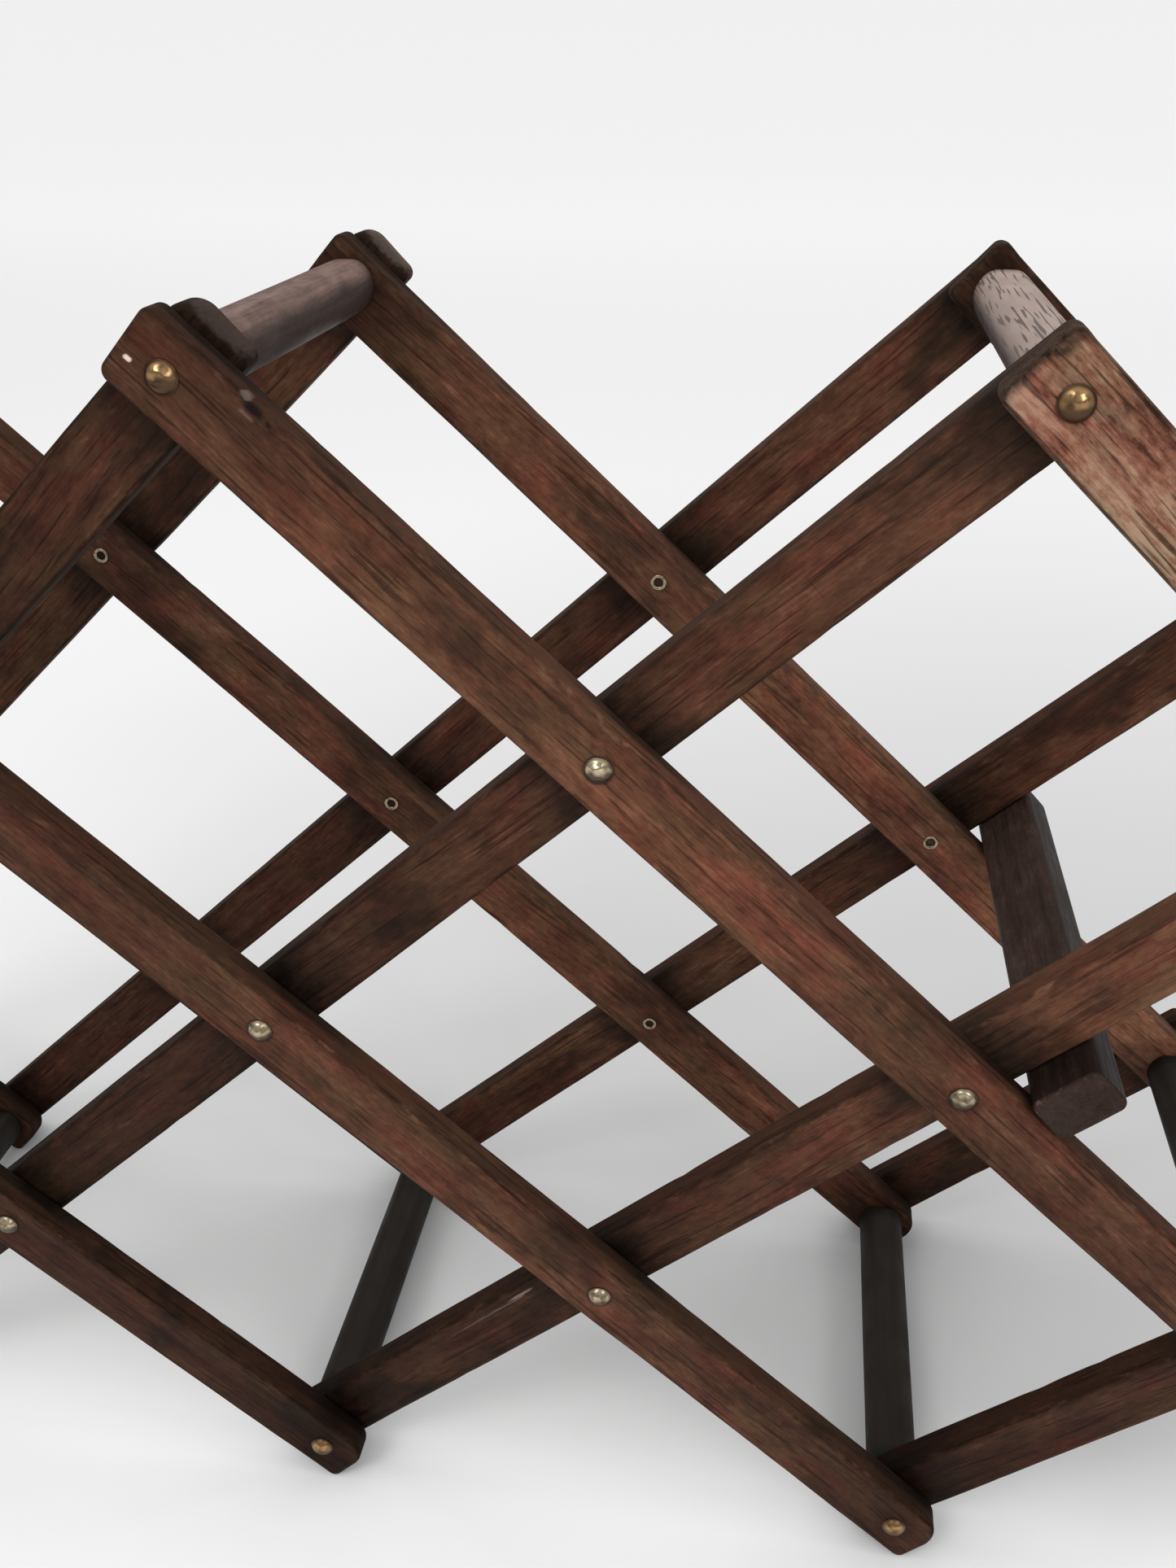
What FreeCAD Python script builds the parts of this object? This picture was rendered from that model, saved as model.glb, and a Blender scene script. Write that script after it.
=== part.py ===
"""Folding lattice bottle rack: two lazy-tongs lattices of wooden slats joined by round crossbars.

Frame: +X runs along the rack, +Y from its front to its back, +Z up. The origin is on the floor,
under the middle of the rack.

The nodes of each lattice lie where a falling slat k crosses a rising slat m. Node (k, m) is
k + m - 2 half cells to the right of the middle and k - m + 2 half cells above the feet.
Falling slats run down to the right and are the front layer of each lattice. Rising slats run up
to the right and are its rear layer. In a slat's own axes, x runs along it from its first node
and z is its upper side.
"""
import FreeCAD, Part
import os
import re

import Sketcher

SIZES = {
    "pitch": 130.0,                # between neighbouring pins along a slat
    "lean": 43.0,                  # angle of the slats from the floor, degrees
    "slat_width": 20.5,
    "slat_thickness": 9.5,
    "layer_gap": 0.3,              # play between two layers
    "arris_radius": 1.8,           # rounding of a slat's long edges
    "corner_radius": 3.0,          # rounding of a slat's end corners
    "foot_corner_radius": 9.5,     # the rounder corner on top of a foot end
    "tab_corner_radius": 6.5,      # and on top of a top end that stands out as a tab
    "plain_overhang": 13.5,        # from an end pin to the slat's end
    "short_overhang": 11.8,        # the same at a top end that covers the slat it crosses
    "flush_overhang": 10.0,        # at a top end that ends behind the slat it crosses
    "tab_overhang": 13.2,          # at a top end that stands out past the slat it crosses
    "bar_radius": 8.25,
    "bar_flat": 7.6,               # height of the planed flat above the crossbar's axis
    "bar_length": 111.1,
    "shank_radius": 1.8,
    "hole_radius": 1.85,
    "head_radius": 3.85,
    "rivet_head_radius": 3.5,
    "head_height": 2.2,
    "pin_depth": 24.0,             # how far a pin is driven into the end of a crossbar
    "tail_radius": 2.6,            # rolled ring at the end of a tubular rivet
    "tail_height": 0.5,
    "tail_play": 0.05,
    "tube_bore": 1.3,
    "tube_depth": 3.0,
    "stop_width": 20.5,
    "stop_thickness": 14.5,
    "stop_length": 153.3,
    "stop_start": 12.3,            # from the node to the stop bar, along its slat
    "stop_corner_radius": 3.0,
    "dowel_radius": 2.0,
    "dowel_in_slat": 8.0,
    "dowel_in_bar": 10.0,
}

# Positions that follow from the driving sizes, written as sheet formulas.
FORMULAS = {
    "inner_layer": "=bar_length / 2 + layer_gap + slat_thickness / 2",
    "outer_layer": "=inner_layer + slat_thickness + layer_gap",
    "inner_face": "=inner_layer - slat_thickness / 2",
    "outer_face": "=outer_layer + slat_thickness / 2",
    "half_cell_x": "=pitch * cos(lean * 1deg)",
    "half_cell_z": "=pitch * sin(lean * 1deg)",
    "foot_height": "=(plain_overhang - corner_radius) * sin(lean * 1deg)"
                   " + (slat_width / 2 - corner_radius) * cos(lean * 1deg) + corner_radius",
}

# Slat number: its first and last crossing. Falling and rising slats have the same ones.
CROSSINGS = {-1: (0, 1), 0: (-1, 2), 1: (-1, 3), 2: (0, 3), 3: (1, 2)}

# Crossbar: the falling and the rising slat at its node.
CROSSBARS = {
    "top_left": (1, -1), "top_centre": (2, 0), "top_right": (3, 1),
    "foot_left": (-1, 1), "foot_centre": (0, 2), "foot_right": (1, 3),
    "side_upper_left": (0, -1), "side_lower_left": (-1, 0),
    "side_upper_right": (3, 2), "side_lower_right": (2, 3),
}

# Stop bar: the pair of slats it sits under, the slat they cross beside it, and on which side of
# that crossing it lies along its slat.
STOP_BARS = {"left": ("falling", 0, 0, -1), "right": ("rising", 2, 2, 1)}

# Top crossbar's node: how its falling and its rising slats end.
TOP_ENDS = {
    (1, -1): ("flush_overhang", "short_overhang"),
    (2, 0): ("short_overhang", "tab_overhang"),
    (3, 1): ("short_overhang", "flush_overhang"),
}

FOOT_LEVEL = -2
X_AXIS, Z_AXIS = -1, -2    # a sketch's own horizontal and vertical axis
START, END, CENTRE = 1, 2, 3
EPS = 1e-4
SPARE_CELL = "D1"

doc = FreeCAD.newDocument("bottle_rack")
sheet = doc.addObject("Spreadsheet::Sheet", "Sizes")
subparts = []
known_values = {}


def fill_sheet():
    """Puts every size and formula in the sheet, one to a row, with its alias."""
    for row, (alias, content) in enumerate({**SIZES, **FORMULAS}.items(), start=1):
        sheet.set(f"A{row}", alias)
        sheet.set(f"B{row}", str(content))
        sheet.setAlias(f"B{row}", alias)
    doc.recompute()


def bound(text):
    """An expression with every alias in it written as a reference to its cell."""
    aliases = "|".join([*SIZES, *FORMULAS])
    return re.sub(rf"\b({aliases})\b", r"Sizes.\1", text)


def value(text):
    """What an expression of aliases comes to now, worked out in a spare cell of the sheet."""
    if text not in known_values:
        sheet.set(SPARE_CELL, f"={text}")
        sheet.recompute()
        known_values[text] = float(sheet.get(SPARE_CELL))
        sheet.clear(SPARE_CELL)
    return known_values[text]


def new_body(label, x="0", y="0", z="0", turn="0"):
    """A sub-part's body. Expressions place it and turn it about +Y, in degrees."""
    body = doc.addObject("PartDesign::Body", label)
    body.Label = label
    body.AllowCompound = True
    tilt = FreeCAD.Rotation(FreeCAD.Vector(0, 1, 0), 1.0)
    body.Placement = FreeCAD.Placement(FreeCAD.Vector(), tilt)
    for axis, text in zip("xyz", (x, y, z)):
        body.setExpression(f"Placement.Base.{axis}", bound(text))
    body.setExpression("Placement.Rotation.Angle", bound(turn))
    subparts.append(body)
    return body


def origin_part(body, role):
    """One of the body's own origin planes or axes."""
    return next(part for part in body.Origin.OriginFeatures if part.Role == role)


def new_sketch(body, name, role, offset="0"):
    """A sketch on one of the body's own origin planes, lifted along its normal."""
    sketch = body.newObject("Sketcher::SketchObject", f"{body.Label}_{name}")
    sketch.AttachmentSupport = [(origin_part(body, role), "")]
    sketch.MapMode = "FlatFace"
    sketch.setExpression("AttachmentOffset.Base.z", bound(offset))
    return sketch


def hold(sketch, kind, places, text):
    """Adds a constraint whose value follows an expression."""
    number = sketch.addConstraint(Sketcher.Constraint(kind, *places, value(text)))
    name = f"{kind}_{number}"
    sketch.renameConstraint(number, name)
    sketch.setExpression(f"Constraints.{name}", bound(text))


def hold_point(sketch, edge, end, x, y):
    """Holds one end of an edge at two expressions. A coordinate of 0 is held on the axis."""
    for kind, text, axis in (("DistanceX", x, Z_AXIS), ("DistanceY", y, X_AXIS)):
        if text == "0":
            sketch.addConstraint(Sketcher.Constraint("PointOnObject", edge, end, axis))
        else:
            hold(sketch, kind, (edge, end), text)


def polygon(sketch, corners, dome=False):
    """A closed outline through corners given as expressions.

    With dome, the first side is an arc instead of a line, centred on the sketch's x axis.
    """
    points = [FreeCAD.Vector(value(x), value(y), 0) for x, y in corners]
    ends = points[1:] + points[:1]
    for number, (start, end) in enumerate(zip(points, ends)):
        if dome and number == 0:
            sketch.addGeometry(dome_arc(start, end))
            sketch.addConstraint(Sketcher.Constraint("PointOnObject", 0, CENTRE, X_AXIS))
        else:
            sketch.addGeometry(Part.LineSegment(start, end))
    count = len(points)
    joints = [edge_ends(sketch, number, ends[number]) for number in range(count)]
    for number, (x, y) in enumerate(corners):
        last_side = (number - 1) % count
        before = (last_side, joints[last_side][1])
        after = (number, joints[number][0])
        sketch.addConstraint(Sketcher.Constraint("Coincident", *before, *after))
        hold_point(sketch, *after, x, y)


def dome_arc(apex, rim):
    """The arc from a dome's apex on the x axis to its rim, centred on the x axis."""
    depth = rim.x - apex.x
    radius = (rim.y ** 2 + depth ** 2) / (2 * abs(depth))
    centre = FreeCAD.Vector(apex.x + radius * (1 if depth > 0 else -1), 0, 0)
    chord = (apex + rim) / 2 - centre
    middle = centre + chord.normalize() * radius
    return Part.Arc(apex, middle, rim)


def edge_ends(sketch, number, end):
    """Which ends of an edge are its first and last corner, since an arc may run backwards."""
    forward = (sketch.getPoint(number, END) - end).Length < EPS
    return (START, END) if forward else (END, START)


def circles(sketch, centres, radius):
    """Circles of one radius, each with its centre at a pair of expressions."""
    for number, (x, y) in enumerate(centres):
        centre = FreeCAD.Vector(value(x), value(y), 0)
        sketch.addGeometry(Part.Circle(centre, FreeCAD.Vector(0, 0, 1), value(radius)))
        hold(sketch, "Radius", (number,), radius)
        hold_point(sketch, number, CENTRE, x, y)


def pad(body, sketch, length, both_ways=True):
    """Pads a sketch by an expression, half each way or all one way."""
    feature = body.newObject("PartDesign::Pad", f"{sketch.Name}_pad")
    feature.Profile = sketch
    feature.SideType = "Symmetric" if both_ways else "One side"
    feature.setExpression("Length", bound(length))
    return feature


def pocket(body, sketch, depth=None, reversed_way=False):
    """Pockets a sketch by an expression, or right through both ways if it gets none."""
    feature = body.newObject("PartDesign::Pocket", f"{sketch.Name}_pocket")
    feature.Profile = sketch
    if depth is None:
        feature.SideType = "Symmetric"
        feature.Type = "ThroughAll"
    else:
        feature.Reversed = reversed_way
        feature.setExpression("Length", bound(depth))
    return feature


def turned(body, sketch, kind):
    """A revolution or a groove of a sketch about its own x axis."""
    feature = body.newObject(f"PartDesign::{kind}", f"{sketch.Name}_turned")
    feature.Profile = sketch
    feature.ReferenceAxis = (sketch, ["H_Axis"])
    feature.Angle = 360
    return feature


def rounded(body, base, edges, radius):
    """Rounds some edges of the last feature to a radius given as an expression."""
    feature = body.newObject("PartDesign::Fillet", f"{base.Name}_round")
    feature.Base = (base, edges)
    feature.setExpression("Radius", bound(radius))
    doc.recompute()
    return feature


def row_of(body, feature, count):
    """Repeats a feature along x, one pitch apart."""
    if count == 1:
        return feature
    pattern = body.newObject("PartDesign::LinearPattern", f"{feature.Name}_row")
    pattern.Originals = [feature]
    pattern.Direction = (origin_part(body, "X_Axis"), [""])
    pattern.Occurrences = count
    pattern.setExpression("Length", bound(f"{count - 1} * pitch"))
    body.Tip = pattern
    return pattern


def front_and_back(body, feature):
    """Repeats a feature in mirror image on the other side of the middle plane."""
    mirrored = body.newObject("PartDesign::Mirrored", f"{feature.Name}_mirrored")
    mirrored.Originals = [feature]
    mirrored.MirrorPlane = (origin_part(body, "XZ_Plane"), [""])
    body.Tip = mirrored
    return mirrored


def edges_where(feature, wanted):
    """Names of a feature's edges whose vertices all pass a test."""
    return [
        f"Edge{number}" for number, edge in enumerate(feature.Shape.Edges, start=1)
        if all(wanted(vertex.Point) for vertex in edge.Vertexes)
    ]


def edges_across(feature, wanted):
    """The same for edges that run through the thickness, along y."""
    return [
        name for name in edges_where(feature, wanted)
        if edge_rise(feature.Shape.getElement(name)) > EPS
    ]


def edge_rise(edge):
    """How far apart an edge's two ends are along y."""
    return abs(edge.Vertexes[0].Point.y - edge.Vertexes[-1].Point.y)


def node_x(falling, rising):
    return f"half_cell_x * ({falling + rising - 2})"


def node_z(falling, rising):
    return f"foot_height + half_cell_z * ({falling - rising + 2})"


def slat_node(kind, number, crossing):
    """The falling and rising slat numbers at one crossing of a slat."""
    return (number, crossing) if kind == "falling" else (crossing, number)


def lean_of(kind):
    """The turn about +Y that lays a slat's x axis along it, as an expression."""
    return "lean" if kind == "falling" else "-1 * lean"


def overhang(kind, node):
    """How far a slat reaches past its end pin at a node, as an expression."""
    falling_end, rising_end = TOP_ENDS.get(node, ("plain_overhang", "plain_overhang"))
    return falling_end if kind == "falling" else rising_end


def slat(side, kind, number):
    """A flat slat with rounded arrises and corners, and a pin hole at each of its nodes."""
    first, last = CROSSINGS[number]
    start_node = slat_node(kind, number, first)
    end_node = slat_node(kind, number, last)
    span = last - first
    layer = "outer_layer" if (side == "front") == (kind == "falling") else "inner_layer"
    body = new_body(
        f"{side}_{kind}_slat_{number + 2}",
        node_x(*start_node),
        layer if side == "back" else f"-1 * {layer}",
        node_z(*start_node),
        lean_of(kind),
    )
    end_overhang = overhang(kind, end_node)
    left = f"-1 * {overhang(kind, start_node)}"
    right = f"{span} * pitch + {end_overhang}"
    low, high = "-1 * slat_width / 2", "slat_width / 2"
    sketch = new_sketch(body, "outline", "XZ_Plane")
    polygon(sketch, [(left, low), (right, low), (right, high), (left, high)])
    solid = pad(body, sketch, "slat_thickness")
    doc.recompute()

    foot_ends = [
        value(x) for node, x in ((start_node, left), (end_node, right))
        if node[0] - node[1] == FOOT_LEVEL
    ]

    def over_foot(point):
        return point.z > 0 and any(abs(point.x - x) < EPS for x in foot_ends)

    def on_tab(point):
        return end_overhang == "tab_overhang" and point.z > 0 and abs(point.x - value(right)) < EPS

    corners = edges_across(solid, lambda point: not over_foot(point) and not on_tab(point))
    solid = rounded(body, solid, corners, "corner_radius")
    for chosen, radius in ((over_foot, "foot_corner_radius"), (on_tab, "tab_corner_radius")):
        edges = edges_across(solid, chosen)
        if edges:
            solid = rounded(body, solid, edges, radius)
    arrises = [
        name for face in (1, -1)
        for name in edges_where(
            solid, lambda point: abs(point.y - face * value("slat_thickness / 2")) < EPS)
    ]
    rounded(body, solid, arrises, "arris_radius")

    hole = new_sketch(body, "hole", "XZ_Plane")
    circles(hole, [("0", "0")], "hole_radius")
    row_of(body, pocket(body, hole), span + 1)
    for stop_kind, stop_number, crossed, way in STOP_BARS.values():
        if (kind, number) == (stop_kind, stop_number):
            socket = new_sketch(body, "dowel_socket", "XY_Plane", low)
            centre = f"{crossed - first} * pitch + {way} * (stop_start + stop_width / 2)"
            circles(socket, [(centre, "0")], "dowel_radius")
            body.Tip = pocket(body, socket, "dowel_in_slat", reversed_way=True)


def stop_bar(side):
    """A bar under a pair of slats, in the open V of a side node, and the dowels that hold it."""
    kind, number, crossed, way = STOP_BARS[side]
    node = slat_node(kind, number, crossed)
    placement = (node_x(*node), "0", node_z(*node), lean_of(kind))
    near = f"{way} * stop_start"
    far = f"{way} * (stop_start + stop_width)"
    top = "-1 * slat_width / 2"
    low = f"{top} - stop_thickness"
    body = new_body(f"stop_bar_{side}", *placement)
    sketch = new_sketch(body, "section", "XZ_Plane")
    polygon(sketch, [(near, low), (far, low), (far, top), (near, top)])
    solid = pad(body, sketch, "stop_length")
    doc.recompute()
    rounded(body, solid, edges_across(solid, lambda point: True), "stop_corner_radius")

    front, back = ("outer", "inner") if kind == "falling" else ("inner", "outer")
    centre = f"{way} * (stop_start + stop_width / 2)"
    places = [(centre, f"-1 * {front}_layer"), (centre, f"{back}_layer")]
    holes = new_sketch(body, "dowel_holes", "XY_Plane", top)
    circles(holes, places, "dowel_radius")
    pocket(body, holes, "dowel_in_bar")

    dowels = new_body(f"stop_dowels_{side}", *placement)
    ends = new_sketch(dowels, "ends", "XY_Plane", f"{top} - dowel_in_bar")
    circles(ends, places, "dowel_radius")
    pad(dowels, ends, "dowel_in_bar + dowel_in_slat", both_ways=False)


def crossbar(place, node):
    """A round bar with a planed flat on top and a pin hole in each end."""
    body = new_body(f"crossbar_{place}", node_x(*node), "0", node_z(*node))
    section = new_sketch(body, "section", "XZ_Plane")
    circles(section, [("0", "0")], "bar_radius")
    pad(body, section, "bar_length")
    planed = new_sketch(body, "flat", "XZ_Plane")
    polygon(planed, [
        ("-1 * bar_radius", "bar_flat"), ("bar_radius", "bar_flat"),
        ("bar_radius", "bar_radius + 1"), ("-1 * bar_radius", "bar_radius + 1"),
    ])
    pocket(body, planed)
    bore = new_sketch(body, "bore", "YZ_Plane")
    mouth, bottom = "-1 * bar_length / 2", "pin_depth - bar_length / 2"
    polygon(bore, [(mouth, "0"), (bottom, "0"), (bottom, "shank_radius"), (mouth, "shank_radius")])
    front_and_back(body, turned(body, bore, "Groove"))


def crossbar_pins(place, node):
    """The two domed pins driven through the slats into the ends of one crossbar."""
    body = new_body(f"pins_{place}", node_x(*node), "0", node_z(*node))
    profile = new_sketch(body, "profile", "YZ_Plane")
    polygon(profile, [
        ("-1 * outer_face - head_height", "0"),
        ("-1 * outer_face", "head_radius"),
        ("-1 * outer_face", "shank_radius"),
        ("pin_depth - bar_length / 2", "shank_radius"),
        ("pin_depth - bar_length / 2", "0"),
    ], dome=True)
    front_and_back(body, turned(body, profile, "Revolution"))


def rivets(kind, number):
    """The tubular rivets of a slat's middle nodes, with their heads on the outer face."""
    first, last = CROSSINGS[number]
    node = slat_node(kind, number, first)
    side, way = ("front", -1) if kind == "falling" else ("back", 1)
    body = new_body(
        f"{side}_rivets_{number + 2}", node_x(*node), "0", node_z(*node), lean_of(kind))
    tail = f"{way} * (inner_face - tail_play)"
    tip = f"{way} * (inner_face - tail_play - tail_height)"
    tube_end = f"{way} * (inner_face + tube_depth)"
    profile = new_sketch(body, "profile", "YZ_Plane", "pitch")
    polygon(profile, [
        (f"{way} * (outer_face + head_height)", "0"),
        (f"{way} * outer_face", "rivet_head_radius"),
        (f"{way} * outer_face", "shank_radius"),
        (tail, "shank_radius"),
        (tail, "tail_radius"),
        (tip, "tail_radius"),
        (tip, "tube_bore"),
        (tube_end, "tube_bore"),
        (tube_end, "0"),
    ], dome=True)
    row_of(body, turned(body, profile, "Revolution"), last - first - 1)


def check_and_export():
    """Stops on any failed object, empty shape or cut that removed nothing, then writes the STEPs."""
    for thing in doc.Objects:
        if "Invalid" in thing.State or "Error" in thing.State:
            raise RuntimeError(f"{thing.Label} did not recompute: {thing.State}")
        if thing.TypeId in ("PartDesign::Pocket", "PartDesign::Groove"):
            if thing.Shape.Volume > thing.BaseFeature.Shape.Volume - EPS:
                raise RuntimeError(f"{thing.Label} removed nothing")
    os.makedirs("parts", exist_ok=True)
    for body in subparts:
        shape = body.Shape
        if shape.isNull() or not shape.isValid():
            raise RuntimeError(f"{body.Label} has no valid shape")
        shape.exportStep(f"parts/{body.Label}.step")
        print(f"{body.Label:28s} {len(shape.Solids)} solids {shape.Volume / 1000:8.2f} cm3")


fill_sheet()
for slat_number in CROSSINGS:
    for slat_side in ("front", "back"):
        for slat_kind in ("falling", "rising"):
            slat(slat_side, slat_kind, slat_number)
for bar_place, bar_node in CROSSBARS.items():
    crossbar(bar_place, bar_node)
    crossbar_pins(bar_place, bar_node)
for long_slat in (0, 1, 2):
    rivets("falling", long_slat)
    rivets("rising", long_slat)
for stop_side in STOP_BARS:
    stop_bar(stop_side)
doc.recompute()
check_and_export()
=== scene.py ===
"""Folding lattice bottle rack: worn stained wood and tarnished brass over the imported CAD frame."""
import math
import zlib

import bpy
import numpy as np
from mathutils import Matrix, Vector


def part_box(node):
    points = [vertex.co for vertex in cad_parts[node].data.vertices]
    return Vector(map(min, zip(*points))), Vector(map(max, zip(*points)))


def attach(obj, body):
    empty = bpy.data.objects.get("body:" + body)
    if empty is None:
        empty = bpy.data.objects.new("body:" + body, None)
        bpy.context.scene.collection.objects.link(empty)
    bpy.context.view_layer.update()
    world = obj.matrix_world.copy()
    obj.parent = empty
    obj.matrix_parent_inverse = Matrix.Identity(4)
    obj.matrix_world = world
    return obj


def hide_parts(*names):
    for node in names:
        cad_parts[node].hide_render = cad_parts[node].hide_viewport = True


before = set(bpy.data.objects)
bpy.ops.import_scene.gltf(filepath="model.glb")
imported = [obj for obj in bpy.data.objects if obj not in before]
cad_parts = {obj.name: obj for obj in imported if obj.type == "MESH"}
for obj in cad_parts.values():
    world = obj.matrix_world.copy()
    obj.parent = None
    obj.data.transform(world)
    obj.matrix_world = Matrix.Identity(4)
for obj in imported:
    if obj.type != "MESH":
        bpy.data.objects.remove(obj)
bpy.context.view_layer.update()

MM = 0.001
LEAN = math.radians(43)
PITCH = 130 * MM
BAR_RADIUS = 8.25 * MM
SLAT_CORNER = 3.0 * MM
TAB_CORNER = 6.5 * MM
FOOT_CORNER = 9.5 * MM
PIN_HEAD_RADIUS = 3.85 * MM
RIVET_HEAD_RADIUS = 3.5 * MM
HEAD_HEIGHT = 2.2 * MM
SHANK_RADIUS = 1.8 * MM
PIN_TIP = 31.6 * MM     # where a pin ends inside its crossbar, from the rack's middle
ROLLED_RADIUS = 2.6 * MM
BORE_RADIUS = 1.3 * MM
BORE_DEPTH = 3.4 * MM
CLOSED = 0.0005         # nearly nothing, where a turned profile closes on its axis
BAR_POINTS = 96         # round a crossbar
HEAD_POINTS = 64        # round a pin or a rivet

# A slat's place is its column in the lattice. Slat number: its own place, and the places of the
# first and the last slat that it crosses. Falling and rising slats have the same ones.
CROSSINGS = {1: (-1, 0, 1), 2: (0, -1, 2), 3: (1, -1, 3), 4: (2, 0, 3), 5: (3, 1, 2)}


def lattice_point(falling, rising):
    """Where the falling and the rising slat at these places cross. 0 and 2 meet in the middle foot."""
    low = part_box("crossbar_foot_centre")[0].z + BAR_RADIUS
    right = (falling + rising - 2) * PITCH * math.cos(LEAN)
    up = (falling - rising + 2) * PITCH * math.sin(LEAN)
    return np.array([right, 0.0, low + up])


# ---------------------------------------------------------------- noise and mesh helpers

def fading(distance, reach):
    """1 at no distance, down to 0 at the reach and beyond."""
    return np.clip(1 - distance / reach, 0, 1)


def seed_of(name):
    """A number that belongs to a piece's name."""
    return zlib.crc32(name.encode()) % 100000


def lattice_value(cells, seed):
    """A repeatable value from -1 to 1 for each whole-number cell. Big multipliers scatter the bits."""
    mixed = cells[:, 0] * 73856093 ^ cells[:, 1] * 19349663 ^ cells[:, 2] * 83492791 ^ seed * 2654435
    mixed = (mixed & 0x7FFFFFFF) * 1103515245 + 12345
    mixed = (mixed ^ (mixed >> 13)) * 1274126177
    return ((mixed >> 8) & 0xFFFF) / 32767.5 - 1


def noise(points, size, seed):
    """Smooth noise from -1 to 1 with features of the given size, one size or one per axis."""
    scaled = points / np.asarray(size)
    cells = np.floor(scaled).astype(np.int64)
    part = scaled - cells
    ease = part * part * (3 - 2 * part)
    total = np.zeros(len(points))
    for corner in range(8):
        step = np.array([corner & 1, corner >> 1 & 1, corner >> 2 & 1])
        weight = np.prod(np.where(step, ease, 1 - ease), axis=1)
        total += weight * lattice_value(cells + step, seed)
    return total


def graded(low, high, fine, coarse, rim):
    """Stations from low to high, fine within rim of each end and coarse between."""
    rim = min(rim, (high - low) / 3)
    fine_count = max(int(round(rim / fine)), 1)
    coarse_count = max(int(round((high - low - 2 * rim) / coarse)), 1)
    return np.concatenate([
        np.linspace(low, low + rim, fine_count + 1)[:-1],
        np.linspace(low + rim, high - rim, coarse_count + 1),
        np.linspace(high - rim, high, fine_count + 1)[1:],
    ])


def box_grid(xs, ys, zs):
    """The surface of a box as a grid: its points and its outward quads."""
    shape = (len(xs), len(ys), len(zs))
    i, j, k = np.meshgrid(*(np.arange(n) for n in shape), indexing="ij")
    shell = np.zeros(shape, bool)
    for axis, index in enumerate((i, j, k)):
        shell |= (index == 0) | (index == shape[axis] - 1)
    number = np.full(shape, -1)
    number[shell] = np.arange(shell.sum())
    points = np.stack([xs[i[shell]], ys[j[shell]], zs[k[shell]]], axis=1)
    quads = []
    for axis in range(3):
        for end in (0, -1):
            sheet = np.take(number, end, axis=axis)
            corners = (sheet[:-1, :-1], sheet[1:, :-1], sheet[1:, 1:], sheet[:-1, 1:])
            quad = np.stack(corners, axis=-1)
            outward = (end == -1) == (axis != 1)
            quads.append((quad if outward else quad[..., ::-1]).reshape(-1, 4))
    return points, np.concatenate(quads)


def mesh_piece(name, points, quads, attributes, material):
    """A smooth mesh object from arrays, with its point attributes."""
    mesh = bpy.data.meshes.new(name)
    mesh.vertices.add(len(points))
    mesh.vertices.foreach_set("co", points.astype(np.float32).ravel())
    mesh.loops.add(quads.size)
    mesh.loops.foreach_set("vertex_index", quads.astype(np.int32).ravel())
    mesh.polygons.add(len(quads))
    mesh.polygons.foreach_set("loop_start", np.arange(0, quads.size, 4, dtype=np.int32))
    mesh.polygons.foreach_set("loop_total", np.full(len(quads), 4, np.int32))
    mesh.update(calc_edges=True)
    mesh.validate()
    for label, values in attributes.items():
        attribute = mesh.attributes.new(label, "FLOAT_VECTOR", "POINT")
        attribute.data.foreach_set("vector", np.asarray(values, np.float32).ravel())
    mesh.polygons.foreach_set("use_smooth", np.full(len(quads), True))
    mesh.materials.append(material)
    piece = bpy.data.objects.new(name, mesh)
    bpy.context.scene.collection.objects.link(piece)
    return piece


# ---------------------------------------------------------------- materials

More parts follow.
